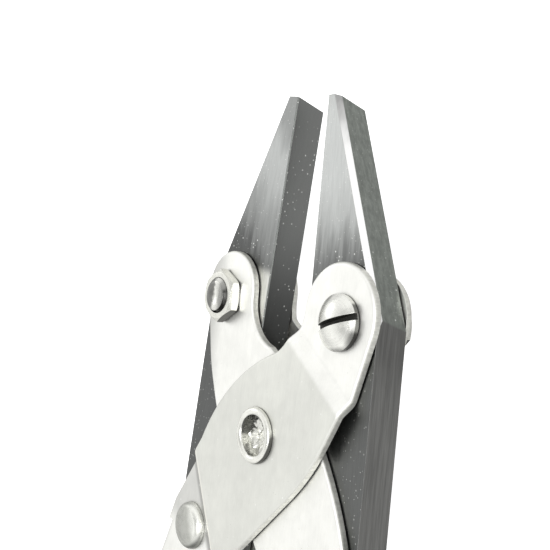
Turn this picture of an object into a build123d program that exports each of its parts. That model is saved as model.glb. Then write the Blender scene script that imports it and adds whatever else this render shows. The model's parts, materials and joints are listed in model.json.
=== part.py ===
from build123d import *
from math import asin, atan2, cos, degrees, hypot, radians, sin, sqrt, tan
import os

# Parallel-action flat nose pliers, handles open, lying on their back.
# Millimetres. X across the tool, Y along it with the tips at +Y, Z through its thickness.
# Everything is drawn about the centre pivot in the mid-plane, then moved so that the origin is
# the bottom centre of the whole tool's box.
# Handle A runs from upper right to lower left. Handle B is handle A turned half a turn
# about the tool's long axis, and so are the screw, nut and rivets that go with it.

# ---- driving dimensions -------------------------------------------------------
SHEET = 1.2             # thickness of the handle plate
JAW_THICK = 5.5         # thickness of the jaw steel
PLATE_GAP = 0.25        # running gap between flat faces that slide on each other
PIVOT_X = 15.0          # jaw pivot, across from the centre pivot
PIVOT_Y = 20.0          # jaw pivot, forward of the centre pivot
GUIDE_X = 17.1          # guide rivet, across from the centre pivot
GUIDE_Y = 19.9          # guide rivet, behind the centre pivot
CLOSING_ANGLE = 29.5    # turn of one handle on the other from open to closed, degrees
JAW_TOE_IN = 3.23       # lean of each jaw towards the other when open, degrees
CLOSED_GAP = 0.08       # space left between the gripping faces when closed

# jaw, in its own frame: u outwards from the pivot, w along the jaw to the tip
JAW_OUTER = 6.24        # outer side of the jaw
TIP_WIDTH = 2.35        # width of the tip
TIP_W = 32.95           # tip at mid thickness
BEND_W = 0.38           # where the nose starts to taper, at mid thickness
NOSE_SLANT = 1.65       # how much further the nose reaches at the front than at the back
NOSE_START_W = -10.0    # join of the slanted nose and the straight tail
TAIL_END_W = -52.5      # end of the tail
TAIL_RELIEF = 1.0       # the tail's inner side stands back from the gripping face
THROAT_W = -7.5         # rear end of the gripping face
EDGE_BEVEL = 0.78       # bevel along one of the nose's outer edges
EDGE_BREAK = 0.18       # small bevel on the jaw's sharp edges

# turned parts
SCREW_R = 2.95
SCREW_BORE_R = 3.0
SCREW_HEAD_R = 4.15
SCREW_HEAD_RIM = 0.8
SCREW_HEAD_HEIGHT = 2.2
SCREW_SLOT_WIDTH = 0.95
SCREW_SLOT_DEPTH = 1.8
SCREW_END = 0.55        # how far the screw stands out of its nut
NUT_ACROSS_FLATS = 7.75
NUT_HEIGHT = 1.9
CENTRE_R = 3.85
CENTRE_BORE_R = 3.9
CENTRE_HOLE_R = 3.1
CENTRE_RIM_R = 4.4
CENTRE_RIM_HEIGHT = 0.85
CENTRE_HOLE_DEPTH = 2.1
CENTRE_SINK = 0.7       # countersink of the centre rivet's inner end
GUIDE_R = 2.25
GUIDE_BORE_R = 2.28
GUIDE_HEAD_R = 3.95
GUIDE_HEAD_HEIGHT = 1.7
GUIDE_HEAD_FLAT_R = 2.7 # radius of the head's low crown
SLOT_CLEARANCE = 0.12   # slot half width beyond the guide rivet
SEAT_GAP = 0.01         # space under a head or nut

# handle plates, as seen from the front on handle A
PAD_OUTER = (14.1, 20.8, 7.9)   # round end of the raised plate: x, y, radius
PAD_INNER = (14.2, 21.0, 6.65)  # round end of the level plate
PAD_TURN = 15.0         # how far below level the round end runs on, degrees
PAD_RUN = 11.5          # straight side below the round end
OUTER_TOP = (-24.1, -18.3)      # upper end of the grip's outer edge
CHANNEL_TOP_Y = -21.0   # where the channel's back starts
SHOULDER = (-16.0, -5.6)        # outer corner of the raised plate
GRIP_END_Y = -95.6
BEND_R = 2.1            # outside bend radius of the channel
PLATE_EDGE_R = 0.5      # rounding of the visible plate edges
RAMP = 2.0              # length of the set between the two plate levels
SET_BEND_R = 1.0        # inside radius of the set's two bends
TOP_SET = 15.8          # distance from the centre pivot to the set near the pad
TOP_SET_ANGLE = 57.2    # direction of that distance from +X, degrees
GRIP_SET = 17.6         # distance from the centre pivot to the set near the grip
GRIP_SET_ANGLE = 210.0
SPLIT_ANGLE = 36.0      # line through the centre pivot where the plate's two halves meet

# ---- worked out ----------------------------------------------------------------
HALF_JAW = JAW_THICK / 2
LEVEL_IN = HALF_JAW + PLATE_GAP         # underside of a level plate
LEVEL_IN_TOP = LEVEL_IN + SHEET
LEVEL_OUT = LEVEL_IN_TOP + PLATE_GAP    # underside of a raised plate
LEVEL_OUT_TOP = LEVEL_OUT + SHEET
PIVOT_RADIUS = hypot(PIVOT_X, PIVOT_Y)
PIVOT_BEARING = degrees(atan2(PIVOT_X, PIVOT_Y))
GRIP_U = PIVOT_RADIUS * sin(radians(PIVOT_BEARING - CLOSING_ANGLE / 2)) - CLOSED_GAP / 2
JAW_RATIO = (CLOSING_ANGLE / 2 + JAW_TOE_IN) / CLOSING_ANGLE
HALF_TURN = Rot(0, 180, 0)


def turned(x, y, angle):
    """A point turned about the origin, degrees counter-clockwise."""
    c = cos(radians(angle))
    s = sin(radians(angle))
    return x * c - y * s, x * s + y * c


def guide_in_jaw(closing):
    """Place of the guide rivet in the right jaw's frame, for a closing angle in degrees."""
    x, y = turned(GUIDE_X, -GUIDE_Y, -closing)
    return turned(x - PIVOT_X, y - PIVOT_Y, JAW_RATIO * closing - JAW_TOE_IN)


def cylinder(x, y, radius, low, high):
    return Pos(x, y, low) * Cylinder(radius, high - low, align=(Align.CENTER, Align.CENTER, Align.MIN))


# ---- jaw -----------------------------------------------------------------------
def jaw_blank():
    """Straight tail and slanted nose of the right jaw."""
    relief = -GRIP_U + TAIL_RELIEF
    corner = 3.0
    tail = Polyline(
        (relief, NOSE_START_W),
        (relief, TAIL_END_W + corner / 2),
        (relief + corner / 2, TAIL_END_W),
        (JAW_OUTER - corner, TAIL_END_W),
        (JAW_OUTER, TAIL_END_W + corner),
        (JAW_OUTER, NOSE_START_W),
        close=True,
    )
    tail_solid = Pos(0, 0, -HALF_JAW) * extrude(make_face(tail), JAW_THICK)
    shift = NOSE_SLANT / 2
    base = NOSE_START_W - 2 * NOSE_SLANT
    nose = Polyline(
        (-GRIP_U, THROAT_W - shift),
        (-GRIP_U, TIP_W - shift),
        (TIP_WIDTH - GRIP_U, TIP_W - shift),
        (JAW_OUTER, BEND_W - shift),
        (JAW_OUTER, base),
        (relief, base),
        (relief, THROAT_W - shift - TAIL_RELIEF),
        close=True,
    )
    slant = Vector(0, NOSE_SLANT, JAW_THICK)
    nose_solid = Pos(0, 0, -HALF_JAW) * extrude(make_face(nose), slant.length, dir=slant.normalized())
    return tail_solid + nose_solid


def guide_slot():
    """The slot that the guide rivet slides along, cut through the tail."""
    points = [guide_in_jaw(CLOSING_ANGLE * part) for part in (0, 0.5, 1)]
    path = ThreePointArc(*points)
    width = 2 * (GUIDE_R + SLOT_CLEARANCE)
    return Pos(0, 0, -HALF_JAW) * extrude(make_face(SlotArc(path, width).edges()), JAW_THICK)


def jaw(bevel_side):
    """Jaw as for the right handle, pivot at the origin, bevelled on the front (1) or back (-1)."""
    solid = jaw_blank()
    outer = [e for e in solid.edges() if e.length > 20 and e.center().Y > 0 and (e @ 0).X + (e @ 1).X > -2
             and e.center().Z * bevel_side > HALF_JAW * 0.7]
    solid = chamfer(outer, EDGE_BEVEL)
    grip = [e for e in solid.edges() if e.length > 8 and abs((e @ 0).X + GRIP_U) < 0.01
            and abs((e @ 1).X + GRIP_U) < 0.01 and abs(e.center().Z) > 1]
    solid = chamfer(grip, EDGE_BREAK)
    bore = cylinder(0, 0, SCREW_BORE_R, -HALF_JAW - 1, HALF_JAW + 1)
    return solid - bore - guide_slot()


# ---- handle --------------------------------------------------------------------
def plate_outline(circle, knee, shoulder, crown, notch, round_shoulder):
    """Outline of one of handle A's plates, as a face.

    Clockwise from the pad: down the inner edge past the knee, round the grip's end, up the outer
    edge to the shoulder, over the crown to the notch beside the pad.
    """
    x, y, radius = circle
    pad_end = (x + radius * cos(radians(PAD_TURN)), y - radius * sin(radians(PAD_TURN)))
    pad = ThreePointArc((x - radius, y), (x, y + radius), pad_end)
    inner = FilletPolyline(
        pad @ 1,
        pad @ 1 + PAD_RUN * (pad % 1),
        knee,
        (-14.0, -32.1),
        (-29.0, -60.0),
        (-37.0, -90.5),
        radius=(25, 40, 50, 90),
    )
    end = TangentArc(inner @ 1, (-49.2, -88.4), tangent=inner % 1)
    hip = (-28.2, -29.5)
    outer = FilletPolyline(
        end @ 1, end @ 1 + 15 * (end % 1), (-42.0, -53.5), hip, OUTER_TOP, radius=(60, 90, 60))
    top = ThreePointArc(shoulder, crown, notch)
    if round_shoulder:
        side = TangentArc(shoulder, OUTER_TOP, tangent=-(top % 0))
    else:
        side = Line(shoulder, OUTER_TOP)
    beside_pad = TangentArc(pad @ 0, notch, tangent=-(pad % 0))
    return make_face(Curve() + [pad, inner, end, outer, side, top, beside_pad])


def front_outline():
    """Handle A's raised front plate."""
    return plate_outline(PAD_OUTER, (13.4, -3.2), SHOULDER, (-7.7, 7.0), (2.3, 13.5), False)


def back_outline():
    """Handle A's level back plate."""
    return plate_outline(PAD_INNER, (13.0, -1.6), (-18.1, -4.8), (-10.2, 5.0), (1.3, 13.7), True)


def set_strip(distance, angle):
    """A wide strip of plate, raised up to a distance from the pivot and level beyond it."""
    kink = SHEET * tan(atan2(LEVEL_OUT - LEVEL_IN, RAMP) / 2)
    reach = 130
    under = FilletPolyline(
        (-reach, LEVEL_OUT),
        (distance, LEVEL_OUT),
        (distance + RAMP, LEVEL_IN),
        (reach, LEVEL_IN),
        radius=(SET_BEND_R, SET_BEND_R + SHEET),
    )
    over = FilletPolyline(
        (reach, LEVEL_IN_TOP),
        (distance + RAMP + kink, LEVEL_IN_TOP),
        (distance + kink, LEVEL_OUT_TOP),
        (-reach, LEVEL_OUT_TOP),
        radius=(SET_BEND_R, SET_BEND_R + SHEET),
    )
    profile = Curve() + [under, Line(under @ 1, over @ 0), over, Line(over @ 1, under @ 0)]
    return Rot(0, 0, angle) * extrude(Plane.XZ * make_face(profile), reach, both=True)


def front_plate():
    """Handle A's front plate: raised where it crosses handle B, level at both ends."""
    outline = extrude(front_outline(), 20)
    half = Box(300, 300, 50, align=(Align.CENTER, Align.MIN, Align.CENTER))
    upper = outline & (Rot(0, 0, -SPLIT_ANGLE) * half)
    lower = outline & (Rot(0, 0, 180 - SPLIT_ANGLE) * half)
    plate = (upper & set_strip(TOP_SET, TOP_SET_ANGLE)) + (lower & set_strip(GRIP_SET, GRIP_SET_ANGLE))
    return fillet(front_rim(plate), PLATE_EDGE_R)


def front_rim(plate):
    """Edges round the plate's front face, apart from the short side between shoulder and channel."""
    rim = []
    probe = 0.05
    for wall in [f for f in plate.faces() if abs(f.normal_at().Z) < 0.01]:
        inwards = -probe * wall.normal_at()
        for edge in wall.edges():
            middle = edge @ 0.5
            upright = hypot((edge @ 0).X - (edge @ 1).X, (edge @ 0).Y - (edge @ 1).Y) < 0.001
            short_side = middle.X < SHOULDER[0] and OUTER_TOP[1] < middle.Y < SHOULDER[1]
            on_front = plate.is_inside(middle + inwards - Vector(0, 0, 2 * probe))
            if on_front and not upright and not short_side:
                rim.append(edge)
    return rim


def back_plate():
    """Handle A's back plate, level all along."""
    plate = Pos(0, 0, -LEVEL_IN_TOP) * extrude(back_outline(), SHEET)
    rim = [e for e in plate.edges() if abs((e @ 0).Z + LEVEL_IN_TOP) + abs((e @ 1).Z + LEVEL_IN_TOP) < 0.01]
    return fillet(rim, PLATE_EDGE_R)


def channel_zone(depth):
    """The side of the grip where the channel's back is, as a block."""
    side = Polyline(
        (-18.0, CHANNEL_TOP_Y),
        (-60.0, CHANNEL_TOP_Y),
        (-60.0, GRIP_END_Y - 5),
        (-36.5, GRIP_END_Y - 5),
        (-39.8, -88.0),
        (-36.0, -55.0),
        close=True,
    )
    return Pos(0, 0, -depth) * extrude(make_face(side), 2 * depth)


def channel_back(outline):
    """The channel's back, which joins the two plates along the outer edge of the grip."""
    full = Pos(0, 0, -LEVEL_IN_TOP) * extrude(outline, 2 * LEVEL_IN_TOP)
    hollow = Pos(0, 0, -LEVEL_IN) * extrude(offset(outline, -SHEET), 2 * LEVEL_IN)
    return (full - hollow) & channel_zone(LEVEL_IN_TOP)


def bend_waste(outline):
    """What the round bends take off the channel's square corners."""
    square = Pos(0, 0, -LEVEL_IN_TOP) * extrude(outline, 2 * LEVEL_IN_TOP)
    corners = [e for e in square.edges() if abs(abs(e.center().Z) - LEVEL_IN_TOP) < 0.01
               and beside_back(e @ 0.5)]
    round_bends = fillet(corners, BEND_R)
    return (square - round_bends) & channel_zone(2 * LEVEL_IN_TOP)


def beside_back(point):
    """True for a point on the outer side or the end of the grip."""
    return point.Y < OUTER_TOP[1] and (point.X < -18 + 0.36 * (point.Y - OUTER_TOP[1]) or point.Y < -91)


def handle():
    """Handle A with its bores."""
    outline = front_outline()
    solid = front_plate() + back_plate() + channel_back(outline) - bend_waste(outline)
    bores = [
        cylinder(PIVOT_X, PIVOT_Y, SCREW_BORE_R, -10, 10),
        cylinder(-GUIDE_X, -GUIDE_Y, GUIDE_BORE_R, -10, 10),
        cylinder(0, 0, CENTRE_BORE_R, -10, 10),
        Pos(0, 0, -LEVEL_IN - CENTRE_SINK) * Cone(
            CENTRE_BORE_R, CENTRE_BORE_R + CENTRE_SINK, CENTRE_SINK,
            align=(Align.CENTER, Align.CENTER, Align.MIN)),
    ]
    for bore in bores:
        solid = solid - bore
    return solid


# ---- turned and small parts ----------------------------------------------------
def revolved(lines):
    """A solid of revolution about Z, from a closed outline of radius and height."""
    return revolve(Plane.XZ * make_face(Curve() + lines), Axis.Z)


def screw(slot_angle):
    """Slotted screw: dome head up, underside of the head on Z = 0."""
    grip = 2 * (LEVEL_IN_TOP + SEAT_GAP)
    end = -grip - NUT_HEIGHT - SCREW_END
    point = 0.5
    solid = revolved([
        Polyline((0, SCREW_HEAD_HEIGHT), (0, end), (SCREW_R - point, end), (SCREW_R, end + point),
                 (SCREW_R, 0), (SCREW_HEAD_R, 0), (SCREW_HEAD_R, SCREW_HEAD_RIM)),
        dome(SCREW_HEAD_R, SCREW_HEAD_RIM, SCREW_HEAD_HEIGHT),
    ])
    cut = Box(3 * SCREW_HEAD_R, SCREW_SLOT_WIDTH, 5, align=(Align.CENTER, Align.CENTER, Align.MIN))
    return solid - Pos(0, 0, SCREW_HEAD_HEIGHT - SCREW_SLOT_DEPTH) * Rot(0, 0, slot_angle) * cut


def dome(radius, low, high):
    """Outline of a spherical cap from its rim to its top."""
    rise = high - low
    ball = (radius ** 2 + rise ** 2) / (2 * rise)
    half = asin(radius / ball) / 2
    middle = (ball * sin(half), high - ball * (1 - cos(half)))
    return ThreePointArc((radius, low), middle, (0, high))


def nut(corner_angle):
    """Hex nut standing on Z = 0, with a flat along it turned to an angle."""
    radius = NUT_ACROSS_FLATS / sqrt(3)
    solid = extrude(RegularPolygon(radius, 6), NUT_HEIGHT)
    flare = radius - NUT_ACROSS_FLATS / 2 + 0.05
    lathe = revolved([
        Polyline((0, 0), (radius - flare, 0), (radius, flare * tan(radians(30))),
                 (radius, NUT_HEIGHT - flare * tan(radians(30))), (radius - flare, NUT_HEIGHT),
                 (0, NUT_HEIGHT), close=True),
    ])
    bore = cylinder(0, 0, SCREW_BORE_R, -1, NUT_HEIGHT + 1)
    return Rot(0, 0, corner_angle) * (solid & lathe) - bore


def centre_rivet():
    """Tubular rivet through the front plates, its mouth rolled over the raised plate."""
    seat = LEVEL_OUT_TOP + SEAT_GAP
    top = seat + CENTRE_RIM_HEIGHT
    floor = top - CENTRE_HOLE_DEPTH
    inner = LEVEL_IN + 0.02
    lip = (CENTRE_RIM_R + CENTRE_HOLE_R) / 2
    return revolved([
        Polyline((0, floor - 0.5), (0, inner), (CENTRE_R + CENTRE_SINK - 0.05, inner),
                 (CENTRE_R, inner + CENTRE_SINK - 0.05), (CENTRE_R, seat), (CENTRE_RIM_R - 0.1, seat)),
        ThreePointArc((CENTRE_RIM_R - 0.1, seat), (CENTRE_RIM_R, seat + 0.25), (lip, top)),
        ThreePointArc((lip, top), (CENTRE_HOLE_R + 0.2, top - 0.12), (CENTRE_HOLE_R, top - 0.5)),
        Polyline((CENTRE_HOLE_R, top - 0.5), (CENTRE_HOLE_R - 0.2, floor), (0, floor - 0.5)),
    ])


def guide_rivet():
    """Rivet with a low crowned head on each side of its handle."""
    seat = LEVEL_IN_TOP + SEAT_GAP
    return revolved([
        Line((0, seat + GUIDE_HEAD_HEIGHT), (0, -seat - GUIDE_HEAD_HEIGHT)),
        *crowned(-1, seat),
        Polyline((GUIDE_HEAD_R, -seat), (GUIDE_R, -seat), (GUIDE_R, seat), (GUIDE_HEAD_R, seat)),
        *crowned(1, seat),
    ])


def crowned(side, seat):
    """Outline of the guide rivet's head above (1) or below (-1) the mid-plane, from rim to middle."""
    rim = seat + 0.3
    shoulder = seat + 0.82 * GUIDE_HEAD_HEIGHT
    bend = (GUIDE_HEAD_R - 0.32, side * (seat + 0.62 * GUIDE_HEAD_HEIGHT))
    crown = (GUIDE_HEAD_FLAT_R, side * shoulder)
    return [
        Line((GUIDE_HEAD_R, side * seat), (GUIDE_HEAD_R, side * rim)),
        ThreePointArc((GUIDE_HEAD_R, side * rim), bend, crown),
        dome(GUIDE_HEAD_FLAT_R, side * shoulder, side * (seat + GUIDE_HEAD_HEIGHT)),
    ]


# ---- assembly -------------------------------------------------------------------
def assembly():
    """Every piece by name, about the centre pivot."""
    handle_a = handle()
    jaw_place = Pos(PIVOT_X, PIVOT_Y, 0) * Rot(0, 0, JAW_TOE_IN)
    seat = LEVEL_IN_TOP + SEAT_GAP
    pivot = Pos(PIVOT_X, PIVOT_Y, seat)
    nut_seat = Pos(PIVOT_X, PIVOT_Y, -seat - NUT_HEIGHT)
    guide_a = Pos(-GUIDE_X, -GUIDE_Y, 0) * guide_rivet()
    front_rivet = centre_rivet()
    return {
        "jaw_right": jaw_place * jaw(1),
        "jaw_left": mirror(jaw_place * jaw(-1), Plane.YZ),
        "handle_a": handle_a,
        "handle_b": HALF_TURN * handle_a,
        "pivot_screw_right": pivot * screw(21),
        "pivot_screw_left": HALF_TURN * pivot * screw(-38),
        "pivot_nut_right": nut_seat * nut(41),
        "pivot_nut_left": HALF_TURN * nut_seat * nut(26),
        "centre_rivet_front": front_rivet,
        "centre_rivet_back": HALF_TURN * front_rivet,
        "guide_rivet_a": guide_a,
        "guide_rivet_b": HALF_TURN * guide_a,
    }


def to_floor(shapes):
    """The move that puts the origin at the bottom centre of the box round all the shapes."""
    boxes = [shape.bounding_box() for shape in shapes]
    low_x = min(box.min.X for box in boxes)
    high_x = max(box.max.X for box in boxes)
    low_y = min(box.min.Y for box in boxes)
    high_y = max(box.max.Y for box in boxes)
    low_z = min(box.min.Z for box in boxes)
    return Pos(-(low_x + high_x) / 2, -(low_y + high_y) / 2, -low_z)


os.makedirs("parts", exist_ok=True)
pieces = assembly()
placing = to_floor(pieces.values())
for name, shape in pieces.items():
    export_step(placing * shape, f"parts/{name}.step")
print("centre pivot at", placing.position, "jaw ratio", round(JAW_RATIO, 5))
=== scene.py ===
import json
import math

import bmesh
import bpy
from mathutils import Matrix, Vector, noise


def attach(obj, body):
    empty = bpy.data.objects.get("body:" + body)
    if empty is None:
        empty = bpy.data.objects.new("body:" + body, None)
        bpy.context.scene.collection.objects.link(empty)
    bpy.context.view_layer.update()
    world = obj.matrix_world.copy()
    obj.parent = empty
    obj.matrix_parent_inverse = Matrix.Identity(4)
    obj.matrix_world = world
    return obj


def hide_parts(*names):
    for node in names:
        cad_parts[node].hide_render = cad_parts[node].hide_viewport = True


# Looks of the parallel-action flat nose pliers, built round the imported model.
# Metres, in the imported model's frame: +Y towards the jaw tips, +Z up through the thickness.
# A shader works in millimetres in its own piece's frame. The left jaw is the right jaw mirrored,
# and handle B's pieces are handle A's turned half a turn about Y.

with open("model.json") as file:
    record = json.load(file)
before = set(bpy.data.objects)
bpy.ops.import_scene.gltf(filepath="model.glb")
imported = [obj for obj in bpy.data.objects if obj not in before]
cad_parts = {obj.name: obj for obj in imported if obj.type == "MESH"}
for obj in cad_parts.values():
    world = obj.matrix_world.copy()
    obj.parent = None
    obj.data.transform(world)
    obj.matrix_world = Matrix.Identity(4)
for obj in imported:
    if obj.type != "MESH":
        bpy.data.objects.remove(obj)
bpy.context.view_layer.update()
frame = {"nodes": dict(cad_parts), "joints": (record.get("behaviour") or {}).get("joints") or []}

MM = 0.001
JOINTS = {joint["name"]: Vector(joint["pos_m"]) for joint in frame["joints"]}
CENTRE = JOINTS["handle_pivot"]
MIRRORED = (-1, 1, 1)
TURNED = (-1, 1, -1)
PLAIN = (1, 1, 1)

# ---- dimensions shared with the CAD part, mm ---------------------------------------
SHEET = 1.2                 # thickness of the handle plate
JAW_THICK = 5.5
PLATE_GAP = 0.25            # running gap between flat faces that slide on each other
SEAT_GAP = 0.01             # space under a head or nut
JAW_TOE_IN = 3.23           # lean of each jaw towards the other, degrees
BEND_W = 0.38               # where the nose starts, along the jaw from its pivot, at mid thickness
NOSE_SLANT = 1.65           # how much further the nose reaches at the front than at the back
TOP_SET = (15.8, 57.2)      # the set near the pad: distance from the centre pivot, direction in degrees
GRIP_SET = (17.6, 210.0)    # the set near the grip
NUT_HEIGHT = 1.9
SCREW_R = 2.95
SCREW_HEAD_R = 4.15
SCREW_HEAD_RIM = 0.8
SCREW_HEAD_HEIGHT = 2.2
SCREW_SLOT_WIDTH = 0.95
SCREW_SLOT_DEPTH = 1.8
SCREW_END = 0.55            # how far the screw stands out of its nut
THREAD_LENGTH = 2.2
THREAD_PITCH = 0.8
THREAD_DEPTH = 0.32
THREAD_FADE = 0.4           # length over which the thread begins
SCREW_POINT = 0.45          # height of the rounded end below the last thread
CENTRE_R = 3.85
CENTRE_RIM_R = 4.4
CENTRE_RIM_HEIGHT = 0.85
CENTRE_HOLE_R = 3.1
CENTRE_HOLE_DEPTH = 2.1
CENTRE_SINK = 0.7           # countersink of the centre rivet's inner end
GUIDE_X = 17.1              # guide rivet, across from the centre pivot
GUIDE_Y = 19.9              # guide rivet, behind the centre pivot

PLATE_INNER = JAW_THICK / 2 + PLATE_GAP             # inner face of a level plate, from the mid-plane
SEAT = PLATE_INNER + SHEET + SEAT_GAP               # where a head or nut sits on a level plate
RAISED_SEAT = SEAT + PLATE_GAP + SHEET              # where a head sits on a raised plate
SCREW_LENGTH = 2 * SEAT + NUT_HEIGHT + SCREW_END    # under the head
RIVET_MOUTH = RAISED_SEAT + CENTRE_RIM_HEIGHT       # top of the centre rivet's rolled rim
RIVET_FLOOR = RIVET_MOUTH - CENTRE_HOLE_DEPTH

LATHE_STEPS = 96
THREAD_ROWS = 30
SHADING_FROM = -20.0         # stretch of a jaw, from its pivot, that its painted light and shade run over
SHADING_TO = 36.0


# ---- shader building -------------------------------------------------------------------
def set_stops(node, stops):
    """Gives a ramp its stops, each a position and a colour."""
    elements = node.color_ramp.elements
    while len(elements) < len(stops):
        elements.new(0.5)
    for element, (position, colour) in zip(elements, stops):
        element.position = position
        element.color = (*colour, 1)


class Shader:
    """A material's node tree, built one node at a time, in a piece's own frame."""

    def __init__(self, name, origin=CENTRE, flip=PLAIN, turn=0.0):
        self.material = bpy.data.materials.new(name)
        self.material.use_nodes = True
        self.tree = self.material.node_tree
        self.tree.nodes.clear()
        self.surface = self.node("ShaderNodeBsdfPrincipled", Metallic=1.0)
        self.node("ShaderNodeOutputMaterial", Surface=self.surface.outputs[0])
        coords = self.node("ShaderNodeTexCoord").outputs
        shifted = self.vector("SUBTRACT", coords["Object"], origin)
        scaled = self.vector("MULTIPLY", shifted, [axis / MM for axis in flip])
        self.place = self.turned(scaled, turn)
        self.x, self.y, self.z = self.split(self.place)
        self.facing = self.turned(self.vector("MULTIPLY", coords["Normal"], flip), turn)
        self.facing_x, self.facing_y, self.facing_z = self.split(self.facing)

    def node(self, kind, settings=None, **sockets):
        """A node with its settings, and with a value or a link for each input socket."""
        node = self.tree.nodes.new(kind)
        for key, value in (settings or {}).items():
            setattr(node, key, value)
        for key, value in sockets.items():
            self.feed(node.inputs[key.replace("_", " ")], value)
        return node

    def feed(self, socket, value):
        if isinstance(value, bpy.types.NodeSocket):
            self.tree.links.new(value, socket)
        else:
            socket.default_value = value

    def fed(self, kind, settings, *values):
        """A node whose inputs are given in order; its first output."""
        node = self.node(kind, settings)
        for socket, value in zip(node.inputs, values):
            self.feed(socket, value)
        return node.outputs[0]

    def vector(self, operation, a, b):
        return self.fed("ShaderNodeVectorMath", {"operation": operation}, a, b)

    def math(self, operation, *values):
        return self.fed("ShaderNodeMath", {"operation": operation}, *values)

    def times(self, first, *others):
        """The product of all the values."""
        product = first
        for other in others:
            product = self.math("MULTIPLY", product, other)
        return product

    def dot(self, a, b):
        node = self.node("ShaderNodeVectorMath", {"operation": "DOT_PRODUCT"})
        self.feed(node.inputs[0], a)
        self.feed(node.inputs[1], b)
        return node.outputs["Value"]

    def split(self, vector):
        return self.node("ShaderNodeSeparateXYZ", Vector=vector).outputs

    def turned(self, vector, degrees):
        node = self.node("ShaderNodeVectorRotate", {"rotation_type": "Z_AXIS"}, Vector=vector,
                         Angle=-math.radians(degrees))
        return node.outputs[0]

    def step(self, value, low, high, to_low=0.0, to_high=1.0, curve="SMOOTHSTEP"):
        """A rise from to_low to to_high while the value goes from low to high."""
        node = self.node("ShaderNodeMapRange", {"interpolation_type": curve}, Value=value)
        for key, bound in (("From Min", low), ("From Max", high), ("To Min", to_low), ("To Max", to_high)):
            node.inputs[key].default_value = bound
        return node.outputs[0]

    def noise(self, scales, detail=3.0, roughness=0.55, shift=0.0):
        """Noise whose features are 1 / scale millimetres along each axis."""
        stretched = self.vector("MULTIPLY", self.place, scales)
        moved = self.vector("ADD", stretched, (shift, shift, shift))
        node = self.node("ShaderNodeTexNoise", Vector=moved, Scale=1.0, Detail=detail, Roughness=roughness)
        return node.outputs[0]

    def specks(self, per_mm, share, radius):
        """Small round specks: cells per millimetre, share of cells that hold one, and radius in cells."""
        node = self.node("ShaderNodeTexVoronoi", Vector=self.place, Scale=per_mm)
        spot = self.step(node.outputs["Distance"], radius, radius * 0.5)
        chosen = self.math("GREATER_THAN", self.split(node.outputs["Color"])[0], 1 - share)
        return self.times(spot, chosen)

    def ramp(self, value, low, high, stops):
        """Greys at given values between low and high, and straight runs between them."""
        part = self.step(value, low, high, curve="LINEAR")
        node = self.node("ShaderNodeValToRGB", Fac=part)
        set_stops(node, [((at - low) / (high - low), (grey, grey, grey)) for at, grey in stops])
        return node.outputs[0]

    def mix(self, factor, a, b, blend="MIX"):
        node = self.node("ShaderNodeMix", {"data_type": "RGBA", "blend_type": blend})
        for key, value in (("Factor_Float", factor), ("A_Color", a), ("B_Color", b)):
            socket = next(socket for socket in node.inputs if socket.identifier == key)
            colour = isinstance(value, tuple) and len(value) == 3
            self.feed(socket, (*value, 1) if colour else value)
        return next(socket for socket in node.outputs if socket.identifier == "Result_Color")

    def shaded(self, colour, factor):
        """The colour times a grey factor."""
        grey = self.fed("ShaderNodeCombineColor", {}, factor, factor, factor)
        return self.mix(1.0, colour, grey, "MULTIPLY")

    def edges(self, radius):
        """The normal of edges rounded to a radius in millimetres, and a mask of those edges."""
        soft = self.node("ShaderNodeBevel", {"samples": 6}, Radius=radius * MM).outputs[0]
        true = self.node("ShaderNodeNewGeometry").outputs["True Normal"]
        return soft, self.step(self.dot(soft, true), 0.99, 0.85)

    def openness(self, reach, own=False):
        """1 in the open and less in corners, looking as far as reach in mm. own looks at one piece alone."""
        settings = {"samples": 8, "only_local": own}
        return self.node("ShaderNodeAmbientOcclusion", settings, Distance=reach * MM).outputs["AO"]

    def shady(self, direction, low, high, dark):
        """Painted shade: falls from 1 to dark as the surface turns towards a direction in its own frame."""
        return self.step(self.dot(self.facing, Vector(direction).normalized()), low, high, 1.0, dark)

    def bump(self, height, depth, normal):
        """A bump of a depth in millimetres over a normal."""
        node = self.node("ShaderNodeBump", Height=height, Distance=depth * MM, Normal=normal, Strength=1.0)
        return node.outputs[0]

    def finish(self, colour, roughness, normal):
        self.feed(self.surface.inputs["Base Color"], colour)
        self.feed(self.surface.inputs["Roughness"], roughness)
        self.feed(self.surface.inputs["Normal"], normal)
        return self.material


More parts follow.
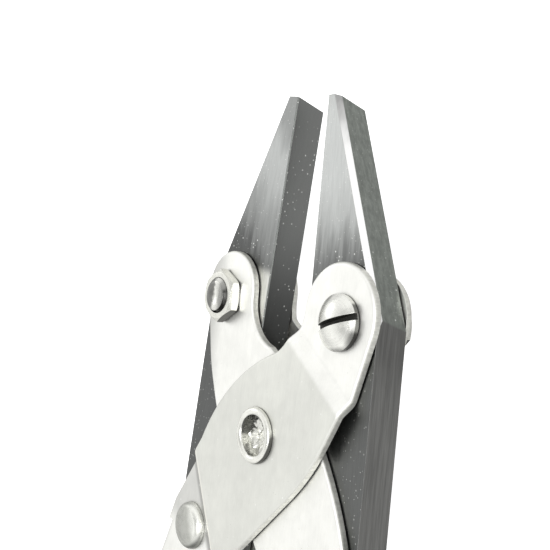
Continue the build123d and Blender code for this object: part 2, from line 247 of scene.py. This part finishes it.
# ---- materials ----------------------------------------------------------------------------
def jaw_steel(name, pivot, flip, front_shading_stops, lean, plate_reflection):
    """Tool steel: lengthwise grinding in front, dull at the sides, dark and smooth on the gripping face.

    ground gives the painted shade and light on the front face at distances along the jaw from its pivot,
    lean how far they run ahead at the gripping edge, and rubbed how strongly the strip beside the pad shows
    a painted reflection of the plate.
    """
    s = Shader(name, JOINTS[pivot], flip, JAW_TOE_IN)

    # the faces of the jaw
    flat = s.math("ABSOLUTE", s.facing_z)
    front = s.step(flat, 0.75, 0.9)
    bevel = s.times(s.step(s.facing_x, 0.35, 0.5), s.step(flat, 0.4, 0.55))
    grip = s.step(s.facing_x, -0.6, -0.9)
    grip_edge = s.times(s.step(s.facing_x, -0.35, -0.5), s.step(flat, 0.4, 0.55), s.step(flat, 0.9, 0.8))
    bend = s.math("MULTIPLY_ADD", s.z, NOSE_SLANT / JAW_THICK, BEND_W)
    nose = s.step(s.math("SUBTRACT", s.y, bend), -0.2, 0.2)

    # painted shade and light that run along the front, and the painted highlight along the bevel
    broad = s.noise((0.7, 0.09, 0.7), 2.0)
    along = s.math("ADD", s.y, s.step(broad, 0.3, 0.7, -1.6, 1.6))
    along = s.math("ADD", along, s.step(s.x, -9.4, 4.0, lean, -lean))
    front_shading = s.ramp(along, SHADING_FROM, SHADING_TO, front_shading_stops)
    front_shading = s.mix(1.0, front_shading, (0.975, 1.0, 0.99), "MULTIPLY")
    bevel_highlight = s.ramp(along, SHADING_FROM, SHADING_TO, BEVEL_HIGHLIGHT_STOPS)

    # the sides: lighter on the nose, streaked lengthwise, darker just ahead of the pivot, lighter on the
    # tail, and in painted shade on the tail's end and other faces turned back towards the handles
    side = s.mix(nose, (0.255, 0.255, 0.25), (0.355, 0.38, 0.355))
    side = s.shaded(side, s.step(s.y, -3.0, 9.0, 0.78, 1.0))
    side = s.shaded(side, s.step(s.y, -12.0, -3.0, 1.28, 1.0))
    streaks = s.noise((1.6, 0.07, 1.6), 3.0, 0.6, 13.0)
    side = s.shaded(side, s.step(streaks, 0.3, 0.7, 0.84, 1.16))
    side = s.shaded(side, s.step(s.facing_y, -0.3, -0.8, 1.0, 0.3))

    # the gripping face, in painted shade that deepens towards the throat, and a painted reflection of the
    # plate on the strip beside the pad
    grip_tone = s.shaded((0.29, 0.297, 0.293), s.step(s.y, -5.0, 16.0, 0.3, 1.0))
    strip = s.times(s.step(s.y, 6.6, 4.6), s.step(s.y, -14.0, -12.0), front,
                    s.step(s.x, -5.2, -6.4, 0.0, plate_reflection))
    colour = s.mix(grip, side, grip_tone)
    colour = s.mix(bevel, colour, bevel_highlight)
    colour = s.mix(front, colour, front_shading)
    colour = s.mix(strip, colour, (0.72, 0.72, 0.69))
    colour = s.mix(grip_edge, colour, (0.13, 0.135, 0.13))

    # grinding, edges lightened by wear and by a painted highlight, dust and lint
    grain = s.noise((7.0, 0.22, 7.0), 4.0, 0.65)
    fine = s.noise((14.0, 0.5, 14.0), 2.0, 0.5, 7.0)
    smooth = s.math("MAXIMUM", grip, bevel)
    grained = s.mix(smooth, s.step(grain, 0.25, 0.75, 0.87, 1.12), (0.99, 0.99, 0.99))
    colour = s.mix(1.0, colour, grained, "MULTIPLY")
    soft, edge = s.edges(0.16)
    wear_and_edge_highlight = s.times(edge, s.step(s.noise((2.5, 0.7, 2.5)), 0.45, 0.65, 0.0, 0.5),
                   s.step(s.y, -3.0, 0.0, 0.15, 1.0))
    colour = s.mix(wear_and_edge_highlight, colour, (0.62, 0.63, 0.60))
    patch = s.step(s.noise((0.12, 0.09, 0.12), 2.0, 0.5, 21.0), 0.45, 0.6, 0.3, 1.0)
    dust = s.times(s.specks(1.2, 0.3, 0.2), patch)
    lint = s.times(s.specks(2.6, 0.16, 0.22), 0.7)
    colour = s.mix(s.math("MAXIMUM", dust, lint), colour, (0.85, 0.86, 0.84))

    rough = s.math("ADD", s.step(grain, 0.2, 0.8, 0.30, 0.44), s.times(dust, 0.3))
    height = s.math("ADD", grain, s.times(fine, 0.5))
    height = s.times(height, s.step(smooth, 0.0, 1.0, 1.0, 0.15))
    return s.finish(colour, rough, s.bump(height, 0.012, soft))


def nickel_plate(name, flip, wall_colour_and_shade, shady_pad):
    """Satin nickel plate on pressed sheet: blotchy sheen, fine scratches, specks near the edges.

    wall_colour_and_shade is the colour of the sheared walls behind the centre, near black on one handle as
    painted shade, and shady_pad how bright the level plate's pad stays at its outer side under painted
    shade.
    """
    s = Shader(name, CENTRE, flip)

    def past(plate_set):
        """How far a point lies past a set, in millimetres, seen from the centre pivot."""
        distance, direction = plate_set
        bearing = math.radians(direction)
        return s.math("SUBTRACT", s.dot(s.place, (math.cos(bearing), math.sin(bearing), 0)), distance)

    # the raised middle, the set near the grip with its ridge, where a highlight is painted, and the painted
    # shade at its foot
    past_grip_set = past(GRIP_SET)
    raised = s.times(s.math("GREATER_THAN", s.facing_z, 0.5), s.step(past(TOP_SET), 0.6, -0.2),
                     s.step(past_grip_set, 0.6, -0.2))
    beyond = s.times(s.step(past_grip_set, 1.2, 2.4), s.step(s.facing_z, 0.5, 0.8))
    near_foot = s.times(beyond, s.step(past_grip_set, 4.4, 2.6))
    near_top = s.times(beyond, s.step(s.y, -22.5, -18.0, 0.0, 0.5))
    foot = s.math("MAXIMUM", near_foot, near_top)
    ridge = s.times(s.step(past_grip_set, -0.3, 0.3), s.step(s.facing_z, 0.3, 0.5),
                    s.step(past_grip_set, 1.8, 1.2))
    pad = s.times(s.step(s.facing_z, -0.5, -0.8), s.step(s.y, -4.0, 4.0), s.step(s.x, 12.5, 21.5))
    wall = s.step(s.math("ABSOLUTE", s.facing_z), 0.55, 0.35)
    lower = s.times(s.step(s.y, -6.0, -14.0), s.step(s.y, -34.0, -28.0))

    # the plate itself, dulled by the hand along the grip, and its sheared walls
    blotches = s.noise((0.11, 0.08, 0.11), 4.0, 0.6)
    cloud = s.noise((0.5, 0.35, 0.5), 3.0, 0.6, 4.0)
    # painted shade: the raised middle darker than the level plate around it
    colour = s.mix(raised, (1.0, 1.0, 0.97), (0.81, 0.815, 0.775))
    colour = s.shaded(colour, s.step(blotches, 0.3, 0.7, 0.94, 1.03))
    colour = s.shaded(colour, s.step(cloud, 0.3, 0.7, 0.97, 1.02))
    colour = s.shaded(colour, s.step(s.y, -38.0, -62.0, 1.0, 0.86))
    # painted shade at the grip set's foot and high on the grip side, and a painted highlight along its ridge
    colour = s.shaded(colour, s.step(foot, 0.0, 1.0, 1.0, 0.48))
    colour = s.mix(ridge, colour, (1.0, 0.99, 0.93))
    # painted shade on the level plate's pad at its outer side
    colour = s.shaded(colour, s.step(pad, 0.0, 1.0, 1.0, shady_pad))
    shear = s.noise((2.0, 2.0, 0.7), 3.0)
    # the walls behind the centre, near black on one handle as painted shade
    cut_wall_and_shade = s.mix(lower, (0.92, 0.92, 0.87), wall_colour_and_shade)
    colour = s.mix(wall, colour, s.shaded(cut_wall_and_shade, s.step(shear, 0.3, 0.7, 0.88, 1.08)))

    # polishing grain, painted highlight on the edges, pits, lint, chipped walls and painted shade in the
    # corners
    grain = s.noise((6.0, 0.22, 6.0), 3.0)
    scratches = s.step(s.noise((0.45, 9.0, 0.45), 2.0, 0.5, 3.0), 0.68, 0.76)
    colour = s.shaded(colour, s.step(grain, 0.25, 0.75, 0.975, 1.015))
    soft, edge = s.edges(0.14)
    colour = s.mix(s.times(edge, 0.5), colour, (0.95, 0.95, 0.91))
    patch = s.step(s.noise((0.2, 0.2, 0.2), 2.0, 0.5, 11.0), 0.48, 0.62)
    pits = s.times(s.specks(1.9, 0.14, 0.13), patch)
    colour = s.mix(s.times(pits, 0.6), colour, (0.16, 0.16, 0.14))
    lint = s.times(s.specks(0.8, 0.3, 0.15), s.step(cloud, 0.45, 0.6), 0.8)
    colour = s.mix(lint, colour, (1.0, 1.0, 0.98))
    colour = s.mix(s.times(s.specks(2.4, 0.4, 0.22), edge), colour, (0.22, 0.22, 0.2))
    chips = s.times(s.specks(1.6, 0.5, 0.22), wall, lower)
    colour = s.mix(chips, colour, (0.93, 0.94, 0.91))
    colour = s.shaded(colour, s.step(s.openness(0.9), 0.25, 0.75, 0.35, 1.0))

    rough = s.math("ADD", s.step(blotches, 0.25, 0.75, 0.4, 0.5), s.times(wall, 0.1))
    height = s.math("ADD", s.times(grain, 0.5), s.times(scratches, -0.4))
    height = s.math("SUBTRACT", height, pits)
    return s.finish(colour, rough, s.bump(height, 0.01, soft))


def turned_nickel(name, origin, tint, hollow_shade, shades, end_side=0):
    """Turned and plated: fine rings about its own axis, painted highlights on edges and painted shade.

    shades lists sides in painted shade: direction, where the fall begins and ends, and how dark it gets.
    The hollows and the spots next to other pieces get painted shade too. end_side is 1 or -1 for a screw
    whose threaded end points up or down; that end gets painted shade and highlight in strips across X.
    """
    s = Shader(name, origin)
    radius = s.math("SQRT", s.math("MULTIPLY_ADD", s.y, s.y, s.times(s.x, s.x)))
    ring_place = s.fed("ShaderNodeCombineXYZ", {}, s.times(radius, 7.0), s.times(s.z, 4.0))
    rings = s.node("ShaderNodeTexNoise", Vector=ring_place, Scale=1.0, Detail=3.0).outputs[0]
    stain = s.noise((0.9, 0.9, 0.9), 3.0)
    colour = s.shaded(tint, s.step(rings, 0.3, 0.7, 0.95, 1.03))
    colour = s.shaded(colour, s.step(stain, 0.35, 0.7, 0.9, 1.03))
    # painted shade on the sides listed in shades
    for shade in shades:
        colour = s.shaded(colour, s.shady(*shade))
    # painted shade and highlight in strips across the threaded end
    if end_side:
        end = s.step(s.times(s.z, end_side), SEAT + 1.2, SEAT + 1.5)
        across = s.math("ADD", s.x, s.step(stain, 0.2, 0.8, -0.35, 0.35))
        end_shading_bands = s.ramp(s.step(across, -3.2, 3.2), 0.0, 1.0, END_SHADING)
        colour = s.mix(end, colour, s.mix(1.0, colour, end_shading_bands, "MULTIPLY"))
    # painted shade: near black in the piece's own hollows, and darker next to other pieces
    shaded_hollow = s.step(s.openness(1.6, own=True), 0.75, 0.3, 0.0, hollow_shade)
    colour = s.mix(shaded_hollow, colour, (0.07, 0.07, 0.06))
    colour = s.shaded(colour, s.step(s.openness(0.7), 0.3, 0.8, 0.2, 1.0))
    # painted highlight: the rounded edges lightened
    soft, edge = s.edges(0.12)
    colour = s.mix(s.times(edge, 0.35), colour, (0.9, 0.9, 0.87))
    nicks = s.times(s.specks(2.3, 0.1, 0.14), 0.6)
    colour = s.mix(nicks, colour, (0.2, 0.2, 0.18))
    return s.finish(colour, s.step(stain, 0.3, 0.7, 0.2, 0.32), s.bump(rings, 0.008, soft))


def hammered_nickel(name, origin):
    """Rivet heads set with a hammer: shallow dents, scratches, painted shade where they meet the plate."""
    s = Shader(name, origin)
    dents = s.noise((0.55, 0.55, 0.55), 1.0, 0.4)
    scuffs = s.step(s.noise((1.2, 7.0, 1.2), 3.0, 0.6, 5.0), 0.62, 0.72)
    stain = s.noise((0.8, 0.8, 0.8), 4.0, 0.6, 9.0)
    # painted light: the head brighter towards +X and +Y, grey on the far side
    lit = s.math("ADD", s.x, s.times(s.y, 0.45))
    colour = s.mix(s.step(lit, 0.9, 3.0), (0.5, 0.505, 0.475), (0.93, 0.935, 0.89))
    colour = s.shaded(colour, s.step(stain, 0.3, 0.7, 0.9, 1.05))
    # painted shade on the side turned towards -Y
    colour = s.shaded(colour, s.shady((0.4, -0.9, 0.1), 0.35, 0.8, 0.35))
    colour = s.mix(s.times(scuffs, 0.25), colour, (0.45, 0.45, 0.41))
    # painted shade, near black, where the head meets the plate
    colour = s.mix(s.step(s.openness(0.8), 0.75, 0.3, 0.0, 0.85), colour, (0.1, 0.1, 0.085))
    soft, edge = s.edges(0.12)
    # painted highlight: the rounded edges lightened
    colour = s.mix(s.times(edge, 0.4), colour, (0.93, 0.93, 0.9))
    nicks = s.times(s.specks(2.0, 0.16, 0.15), 0.7)
    colour = s.mix(nicks, colour, (0.18, 0.18, 0.16))
    height = s.math("ADD", s.times(dents, 10.0), s.times(scuffs, -0.4))
    return s.finish(colour, s.step(stain, 0.3, 0.7, 0.22, 0.36), s.bump(height, 0.012, soft))


def slot_grime_and_shade(name):
    """Old grease packed in a driver slot, near black also as painted shade in the slot."""
    s = Shader(name)
    s.surface.inputs["Metallic"].default_value = 0.3
    lumps = s.noise((3.0, 3.0, 3.0), 4.0)
    thick = s.step(lumps, 0.3, 0.7, curve="LINEAR")
    colour = s.mix(thick, (0.012, 0.012, 0.010), (0.05, 0.05, 0.045))
    soft, _ = s.edges(0.1)
    return s.finish(colour, s.step(lumps, 0.3, 0.7, 0.45, 0.7), s.bump(lumps, 0.03, soft))


# Painted light and shade at distances along a jaw from its pivot, in mm: each front face; the bevel's
# highlight.
RIGHT_FRONT_SHADING = ((-14, 0.15), (5, 0.11), (9.6, 0.22), (15, 0.47), (20.8, 0.56), (25, 0.54), (31, 0.55),
                (35, 0.5))
LEFT_FRONT_SHADING = ((-14, 0.13), (4, 0.10), (8.5, 0.12), (12, 0.24), (17, 0.33), (22, 0.45), (27, 0.46),
               (32, 0.30))
BEVEL_HIGHLIGHT_STOPS = ((-3.2, 0.8), (2.4, 1.0), (24.8, 1.0), (30.4, 0.6), (33.8, 0.4))

# Painted shade and highlight across a screw's threaded end, as brightness at places from 0 at one side to 1
# at the other.
END_SHADING = ((0.0, 0.5), (0.14, 0.22), (0.36, 0.26), (0.5, 0.95), (0.68, 0.85), (0.8, 0.45), (1.0, 0.3))

# Sides in painted shade: direction, where the fall begins and ends, and how dark it gets.
SCREW_SHADES = (((0.9, -0.3, -0.15), 0.3, 0.47, 0.2), ((0.25, -0.95, -0.15), 0.35, 0.5, 0.25),
                ((-0.9, 0.4, 0.0), 0.33, 0.45, 0.6))
RIVET_SHADES = (((0.75, -0.6, -0.1), 0.45, 0.7, 0.14),)
NUT_SHADES = (((0.35, -0.9, 0.0), 0.5, 0.9, 0.13),)


# ---- detailed pieces ---------------------------------------------------------------------
def new_object(name, data):
    made = bpy.data.objects.new(name, data)
    bpy.context.scene.collection.objects.link(made)
    return made


def lathe(name, outline, material, shape=None):
    """A closed piece turned about +Z, in mm. The outline is (radius, height), top centre to bottom centre.

    shape(angle, radius, height) may move a point of the outline: it returns a new radius and height.
    """
    piece = bmesh.new()
    rings = []
    for radius, height in outline:
        ring = []
        for step in range(LATHE_STEPS if radius else 1):
            angle = math.tau * step / LATHE_STEPS
            r, z = shape(angle, radius, height) if shape else (radius, height)
            ring.append(piece.verts.new((r * math.cos(angle), r * math.sin(angle), z)))
        rings.append(ring)
    for upper, lower in zip(rings, rings[1:]):
        for step in range(LATHE_STEPS):
            after = step + 1
            corners = [upper[step % len(upper)], lower[step % len(lower)],
                       lower[after % len(lower)], upper[after % len(upper)]]
            piece.faces.new(dict.fromkeys(corners)).smooth = True
    mesh = bpy.data.meshes.new(name)
    piece.to_mesh(mesh)
    piece.free()
    mesh.materials.append(material)
    return new_object(name, mesh)


def place(piece, origin, turned_over, body, node):
    """Puts a piece made in mm where its CAD node is, in metres, and makes it stand for that node."""
    over = Matrix.Rotation(math.pi if turned_over else 0.0, 4, "Y")
    piece.data.transform(Matrix.Translation(origin) @ over @ Matrix.Scale(MM, 4))
    piece.data.set_sharp_from_angle(angle=math.radians(32))
    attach(piece, body)
    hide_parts(node)


def cap(radius, low, high, steps):
    """Outline of a dome from its top to its rim."""
    rise = high - low
    ball = (radius ** 2 + rise ** 2) / (2 * rise)
    half = math.asin(radius / ball)
    angles = [half * step / steps for step in range(steps + 1)]
    return [(ball * math.sin(a), high - ball * (1 - math.cos(a))) for a in angles]


def threaded(angle, radius, height):
    """Cuts the thread into the last stretch of the screw, fading out where it begins and at the end."""
    from_end = height - SEAT + SCREW_LENGTH
    on_end_face = radius < SCREW_R - 0.6
    if from_end > THREAD_LENGTH or on_end_face:
        return radius, height
    turn = (height / THREAD_PITCH - angle / math.tau) % 1
    ridge = abs(2 * turn - 1)
    fade = min(1, (THREAD_LENGTH - from_end) / THREAD_FADE)
    return radius - THREAD_DEPTH * (1 - ridge) * fade * (radius / SCREW_R) ** 4, height


def slot_cutter(angle, material):
    """The block that a screw's driver slot is cut with, in mm."""
    block = bmesh.new()
    bmesh.ops.create_cube(block, size=1)
    size = Matrix.Diagonal((3 * SCREW_HEAD_R, SCREW_SLOT_WIDTH, 2 * SCREW_SLOT_DEPTH, 1))
    top = Matrix.Translation((0, 0, SEAT + SCREW_HEAD_HEIGHT))
    block.transform(top @ Matrix.Rotation(math.radians(angle), 4, "Z") @ size)
    mesh = bpy.data.meshes.new("slot_cutter")
    block.to_mesh(mesh)
    block.free()
    mesh.materials.append(material)
    return new_object("slot_cutter", mesh)


def cut(piece, cutter):
    """Cuts one object out of another and removes the cutter."""
    step = piece.modifiers.new("slot", "BOOLEAN")
    step.object = cutter
    step.operation = "DIFFERENCE"
    step.solver = "EXACT"
    step.material_mode = "TRANSFER"
    shown = piece.evaluated_get(bpy.context.evaluated_depsgraph_get())
    mesh = bpy.data.meshes.new_from_object(shown)
    piece.modifiers.clear()
    piece.data = mesh
    bpy.data.objects.remove(cutter)


def screw(side, slot_angle, over, body):
    """Dome head with a driver slot, plain shank and threaded end with a small centre dimple."""
    node = f"pivot_screw_{side}"
    origin = JOINTS[f"jaw_{side}_pivot"]
    end = SEAT - SCREW_LENGTH
    thread_top = end + THREAD_LENGTH
    outline = cap(SCREW_HEAD_R, SEAT + SCREW_HEAD_RIM, SEAT + SCREW_HEAD_HEIGHT, 14)
    outline += [(SCREW_HEAD_R, SEAT + 0.12), (SCREW_HEAD_R - 0.12, SEAT), (SCREW_R, SEAT)]
    row_height = (THREAD_LENGTH - SCREW_POINT) / THREAD_ROWS
    outline += [(SCREW_R, thread_top - row_height * row) for row in range(THREAD_ROWS + 1)]
    outline += [(SCREW_R - 0.15, end + 0.28), (SCREW_R - 0.38, end + 0.07), (SCREW_R - 0.55, end),
                (1.5, end), (1.3, end + 0.06), (0.5, end + 0.22), (0, end + 0.25)]
    metal = turned_nickel(f"screw_metal_{side}", origin, (0.92, 0.92, 0.88), 0.75,
                          SCREW_SHADES, 1 if over else -1)
    piece = lathe(f"screw_{side}", outline, metal, threaded)
    cut(piece, slot_cutter(slot_angle, slot_grime_and_shade(f"slot_grime_and_shade_{side}")))
    place(piece, origin, over, body, node)


def crumpled(angle, radius, height):
    """The rolled mouth of a tubular rivet: its inside is lumpy, its lip a little uneven."""
    if height < RIVET_FLOOR - 1:
        return radius, height
    spot = Vector((math.cos(angle) * radius, math.sin(angle) * radius, height)) * 0.75
    inside = max(0.0, min(1.0, (CENTRE_HOLE_R + 0.25 - radius) / 0.5))
    lump = (noise.noise(spot * 1.3) * 0.55 + noise.noise(spot * 3.1) * 0.22) * inside
    wave = 0.05 * noise.noise(spot * 0.8) if radius > 3 else 0.0
    return radius + lump * 0.5, height + lump + wave


def tubular_rivet(where, over, body):
    """Centre rivet with its mouth rolled outwards over the raised plate."""
    lip = (CENTRE_RIM_R + CENTRE_HOLE_R) / 2
    lip_half = (CENTRE_RIM_R - CENTRE_HOLE_R) / 2
    roll = 0.5
    inner_end = PLATE_INNER + 0.02
    outline = [(0, RIVET_FLOOR)]
    outline += [(CENTRE_HOLE_R * 0.86 * step / 10, RIVET_FLOOR) for step in range(1, 11)]
    outline += [(CENTRE_HOLE_R - 0.35 + 0.05 * step, RIVET_FLOOR + (CENTRE_HOLE_DEPTH - roll) * step / 7)
                for step in range(1, 7)]
    outline += [(lip - lip_half * math.cos(a), RIVET_MOUTH - roll + roll * math.sin(a))
                for a in (math.pi * step / 12 for step in range(1, 12))]
    outline += [(CENTRE_RIM_R, RAISED_SEAT + 0.08), (CENTRE_RIM_R - 0.12, RAISED_SEAT),
                (CENTRE_R, RAISED_SEAT), (CENTRE_R, PLATE_INNER + CENTRE_SINK + 0.05),
                (CENTRE_R + CENTRE_SINK, inner_end), (0, inner_end)]
    metal = turned_nickel(f"centre_rivet_metal_{where}", CENTRE, (0.92, 0.92, 0.87), 0.85, RIVET_SHADES)
    piece = lathe(f"tubular_rivet_{where}", outline, metal, crumpled)
    place(piece, CENTRE, over, body, f"centre_rivet_{where}")


# ---- stage ----------------------------------------------------------------------------------
CAMERA_PLACE = (119.91, 32.25, 93.56)       # from the centre pivot, mm
CAMERA_RIGHT = (0.5814, 0.1234, -0.8042)
CAMERA_UP = (-0.1116, 0.9912, 0.0714)
CAMERA_LENS = 63.34

# Brightness of the sky from straight down, 0, to straight up, 1.
SKY = ((0.0, 0.4), (0.2, 0.6), (0.45, 0.66), (0.62, 0.8), (0.8, 1.1), (0.88, 1.0), (1.0, 0.6))


def studio_floor():
    """A plain white table that glows a little to stay white, kept out of the metal's reflections."""
    reach = 4.0
    mesh = bpy.data.meshes.new("floor")
    corners = [(x * reach, y * reach, 0) for x, y in ((-1, -1), (1, -1), (1, 1), (-1, 1))]
    mesh.from_pydata(corners, [], [(0, 1, 2, 3)])
    floor = new_object("floor", mesh)
    material = bpy.data.materials.new("white_table")
    material.use_nodes = True
    surface = material.node_tree.nodes["Principled BSDF"]
    surface.inputs["Base Color"].default_value = (0.9, 0.9, 0.9, 1)
    surface.inputs["Roughness"].default_value = 0.8
    surface.inputs["Emission Color"].default_value = (1, 1, 1, 1)
    surface.inputs["Emission Strength"].default_value = 0.9
    mesh.materials.append(material)
    floor.visible_glossy = False


def studio_sky():
    """Soft light from all round: brightest high up at a slant, dimmer straight above, dimmest below."""
    world = bpy.data.worlds.new("studio")
    bpy.context.scene.world = world
    world.use_nodes = True
    tree = world.node_tree
    background = tree.nodes["Background"]
    coords = tree.nodes.new("ShaderNodeTexCoord")
    split = tree.nodes.new("ShaderNodeSeparateXYZ")
    height = tree.nodes.new("ShaderNodeMapRange")
    height.inputs["From Min"].default_value = -1
    ramp = tree.nodes.new("ShaderNodeValToRGB")
    set_stops(ramp, [(position, (grey, grey, grey * 0.985)) for position, grey in SKY])
    for source, target in ((coords.outputs["Generated"], split.inputs[0]),
                           (split.outputs["Z"], height.inputs["Value"]),
                           (height.outputs[0], ramp.inputs["Fac"]),
                           (ramp.outputs["Color"], background.inputs["Color"])):
        tree.links.new(source, target)
    background.inputs["Strength"].default_value = 1.0


def softbox(name, direction, distance, size, radiance):
    """A square light panel that faces the tool, given by its brightness."""
    light = bpy.data.lights.new(name, "AREA")
    light.size = size
    light.energy = radiance * math.pi * size ** 2
    panel = new_object(name, light)
    towards = Vector(direction).normalized()
    panel.location = CENTRE + towards * distance
    panel.rotation_mode = "QUATERNION"
    panel.rotation_quaternion = towards.to_track_quat("Z", "Y")


def camera():
    """Close to the tool, in front and to its right, with the tips up in the picture."""
    right = Vector(CAMERA_RIGHT).normalized()
    up = Vector(CAMERA_UP)
    up = (up - right * up.dot(right)).normalized()
    turn = Matrix((right, up, right.cross(up))).transposed().to_4x4()
    data = bpy.data.cameras.new("camera")
    data.sensor_width = 36
    data.lens = CAMERA_LENS
    data.clip_start = 0.005
    data.clip_end = 20
    made = new_object("camera", data)
    made.matrix_world = Matrix.Translation(CENTRE + Vector(CAMERA_PLACE) * MM) @ turn
    bpy.context.scene.camera = made


def dress(node, material):
    """Gives a CAD piece its finished material."""
    slots = frame["nodes"][node].data.materials
    slots.clear()
    slots.append(material)


camera()
studio_floor()
studio_sky()
softbox("key", (0.55, 0.0, 0.83), 0.7, 0.42, 2.6)
softbox("side", (-0.85, 0.25, 0.5), 0.8, 0.3, 0.7)

dress("jaw_right", jaw_steel("jaw_steel_right", "jaw_right_pivot", PLAIN, RIGHT_FRONT_SHADING, 1.0, 0.0))
dress("jaw_left", jaw_steel("jaw_steel_left", "jaw_left_pivot", MIRRORED, LEFT_FRONT_SHADING, 3.5, 1.0))
dress("handle_a", nickel_plate("nickel_plate_a", PLAIN, (0.85, 0.85, 0.80), 1.0))
# handle B: walls behind the centre near black and the pad dimmed, both as painted shade
dress("handle_b", nickel_plate("nickel_plate_b", TURNED, (0.22, 0.23, 0.21), 0.6))
for side in ("right", "left"):
    pivot = JOINTS[f"jaw_{side}_pivot"]
    nut_metal = turned_nickel(f"nut_metal_{side}", pivot, (0.82, 0.82, 0.77), 0.3, NUT_SHADES)
    dress(f"pivot_nut_{side}", nut_metal)
for letter, across in (("a", -GUIDE_X), ("b", GUIDE_X)):
    head = CENTRE + Vector((across, -GUIDE_Y, 0)) * MM
    dress(f"guide_rivet_{letter}", hammered_nickel(f"guide_rivet_metal_{letter}", head))

screw("right", 21, False, "handle_a")
screw("left", -38, True, "handle_b")
tubular_rivet("front", False, "handle_a")
tubular_rivet("back", True, "handle_b")

bpy.context.scene.view_settings.view_transform = "Standard"
